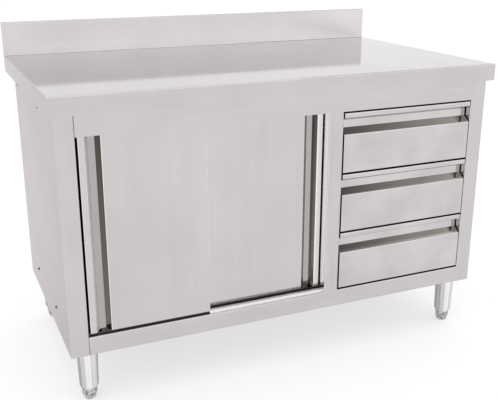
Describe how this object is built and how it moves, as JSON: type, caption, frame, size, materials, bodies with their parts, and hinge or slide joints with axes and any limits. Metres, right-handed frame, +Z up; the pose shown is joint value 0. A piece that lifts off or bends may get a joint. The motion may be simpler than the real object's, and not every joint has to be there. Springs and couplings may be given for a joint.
{
  "type": "stainless work cabinet",
  "caption": "Stainless steel kitchen work table on a closed cabinet, with a low backsplash, sliding doors, drawers with pressed finger pulls and adjustable bullet feet.",
  "frame": {"origin": "on the floor, under the middle of the worktop", "axes": "+X along the worktop to the right as seen from the front, +Y to the back, +Z up"},
  "size_m": [1.2, 0.7, 0.875],
  "materials": {
    "stainless": "fine brushed, satin",
    "leg_steel": "satin tube",
    "zinc_steel": "zinc plated",
    "fastener_steel": "machined",
    "nylon": "moulded",
    "chipboard": "raw board"
  },
  "bodies": {
    "cabinet": {"back_panel": "stainless", "base_channel_left": "stainless", "base_channel_right": "stainless", "bottom_rail": "stainless", "deck": "stainless", "divider_panel": "stainless", "door_bottom_track": "stainless", "door_top_track": "stainless", "fixed_slides": "zinc_steel", "front_post_left": "stainless", "front_post_right": "stainless", "leg_front_left": "leg_steel", "leg_front_right": "leg_steel", "leg_inserts": "nylon", "leg_nuts": "fastener_steel", "leg_rear_left": "leg_steel", "leg_rear_right": "leg_steel", "leg_washers": "fastener_steel", "middle_post": "stainless", "shelf": "stainless", "shelf_brackets": "stainless", "side_panel_left": "stainless", "side_panel_right": "stainless", "side_screws": "fastener_steel", "slide_posts": "stainless", "top_angle_left": "stainless", "top_angle_right": "stainless", "top_rail": "stainless", "worktop_core": "chipboard", "worktop_skin": "stainless", "worktop_stiffeners": "stainless"},
    "left_door": {"door_left_outer": "stainless", "door_left_inner": "stainless", "door_left_hangers": "fastener_steel", "door_left_guides": "nylon"},
    "left_door_wheels_1": {"door_left_wheels_1": "nylon"},
    "left_door_wheels_2": {"door_left_wheels_2": "nylon"},
    "right_door": {"door_right_outer": "stainless", "door_right_inner": "stainless", "door_right_hangers": "fastener_steel", "door_right_guides": "nylon"},
    "right_door_wheels_1": {"door_right_wheels_1": "nylon"},
    "right_door_wheels_2": {"door_right_wheels_2": "nylon"},
    "drawer_1": {"drawer_1_front": "stainless", "drawer_1_tray": "stainless", "drawer_1_slides": "zinc_steel"},
    "drawer_1_middle": {"drawer_1_middle_slides": "zinc_steel"},
    "drawer_2": {"drawer_2_front": "stainless", "drawer_2_tray": "stainless", "drawer_2_slides": "zinc_steel"},
    "drawer_2_middle": {"drawer_2_middle_slides": "zinc_steel"},
    "drawer_3": {"drawer_3_front": "stainless", "drawer_3_tray": "stainless", "drawer_3_slides": "zinc_steel"},
    "drawer_3_middle": {"drawer_3_middle_slides": "zinc_steel"},
    "foot_front_left": {"foot_front_left": "leg_steel"},
    "foot_front_right": {"foot_front_right": "leg_steel"},
    "foot_rear_left": {"foot_rear_left": "leg_steel"},
    "foot_rear_right": {"foot_rear_right": "leg_steel"}
  },
  "joints": [
    {"name": "left_door_slide", "type": "slide", "parent": "cabinet", "child": "left_door", "axis": [1, 0, 0], "range_m": [0, 0.324]},
    {"name": "right_door_slide", "type": "slide", "parent": "cabinet", "child": "right_door", "axis": [1, 0, 0], "range_m": [-0.288, 0]},
    {"name": "left_door_wheels_1_turn", "type": "hinge", "parent": "left_door", "child": "left_door_wheels_1", "pos_m": [-0.491, -0.321, 0.7478], "axis": [0, 1, 0], "range_deg": [-5, 2070]},
    {"name": "left_door_wheels_2_turn", "type": "hinge", "parent": "left_door", "child": "left_door_wheels_2", "pos_m": [-0.273, -0.321, 0.7478], "axis": [0, 1, 0], "range_deg": [-5, 2070]},
    {"name": "right_door_wheels_1_turn", "type": "hinge", "parent": "right_door", "child": "right_door_wheels_1", "pos_m": [-0.203, -0.295, 0.7478], "axis": [0, 1, 0], "range_deg": [-1840, 5]},
    {"name": "right_door_wheels_2_turn", "type": "hinge", "parent": "right_door", "child": "right_door_wheels_2", "pos_m": [0.0535, -0.295, 0.7478], "axis": [0, 1, 0], "range_deg": [-1840, 5]},
    {"name": "drawer_1_slide", "type": "slide", "parent": "cabinet", "child": "drawer_1", "axis": [0, -1, 0], "range_m": [0, 0.4]},
    {"name": "drawer_1_middle_slide", "type": "slide", "parent": "cabinet", "child": "drawer_1_middle", "axis": [0, -1, 0], "range_m": [0, 0.201]},
    {"name": "drawer_2_slide", "type": "slide", "parent": "cabinet", "child": "drawer_2", "axis": [0, -1, 0], "range_m": [0, 0.4]},
    {"name": "drawer_2_middle_slide", "type": "slide", "parent": "cabinet", "child": "drawer_2_middle", "axis": [0, -1, 0], "range_m": [0, 0.201]},
    {"name": "drawer_3_slide", "type": "slide", "parent": "cabinet", "child": "drawer_3", "axis": [0, -1, 0], "range_m": [0, 0.4]},
    {"name": "drawer_3_middle_slide", "type": "slide", "parent": "cabinet", "child": "drawer_3_middle", "axis": [0, -1, 0], "range_m": [0, 0.201]},
    {"name": "foot_front_left_height", "type": "slide", "parent": "cabinet", "child": "foot_front_left", "axis": [0, 0, -1], "range_m": [0, 0.03]},
    {"name": "foot_front_right_height", "type": "slide", "parent": "cabinet", "child": "foot_front_right", "axis": [0, 0, -1], "range_m": [0, 0.03]},
    {"name": "foot_rear_left_height", "type": "slide", "parent": "cabinet", "child": "foot_rear_left", "axis": [0, 0, -1], "range_m": [0, 0.03]},
    {"name": "foot_rear_right_height", "type": "slide", "parent": "cabinet", "child": "foot_rear_right", "axis": [0, 0, -1], "range_m": [0, 0.03]}
  ],
  "couplings": [
    {"joint": "left_door_wheels_1_turn", "follows": "left_door_slide", "rad_per_m": 111.11},
    {"joint": "left_door_wheels_2_turn", "follows": "left_door_slide", "rad_per_m": 111.11},
    {"joint": "right_door_wheels_1_turn", "follows": "right_door_slide", "rad_per_m": 111.11},
    {"joint": "right_door_wheels_2_turn", "follows": "right_door_slide", "rad_per_m": 111.11},
    {"joint": "drawer_1_middle_slide", "follows": "drawer_1_slide", "ratio": 0.5},
    {"joint": "drawer_2_middle_slide", "follows": "drawer_2_slide", "ratio": 0.5},
    {"joint": "drawer_3_middle_slide", "follows": "drawer_3_slide", "ratio": 0.5}
  ]
}
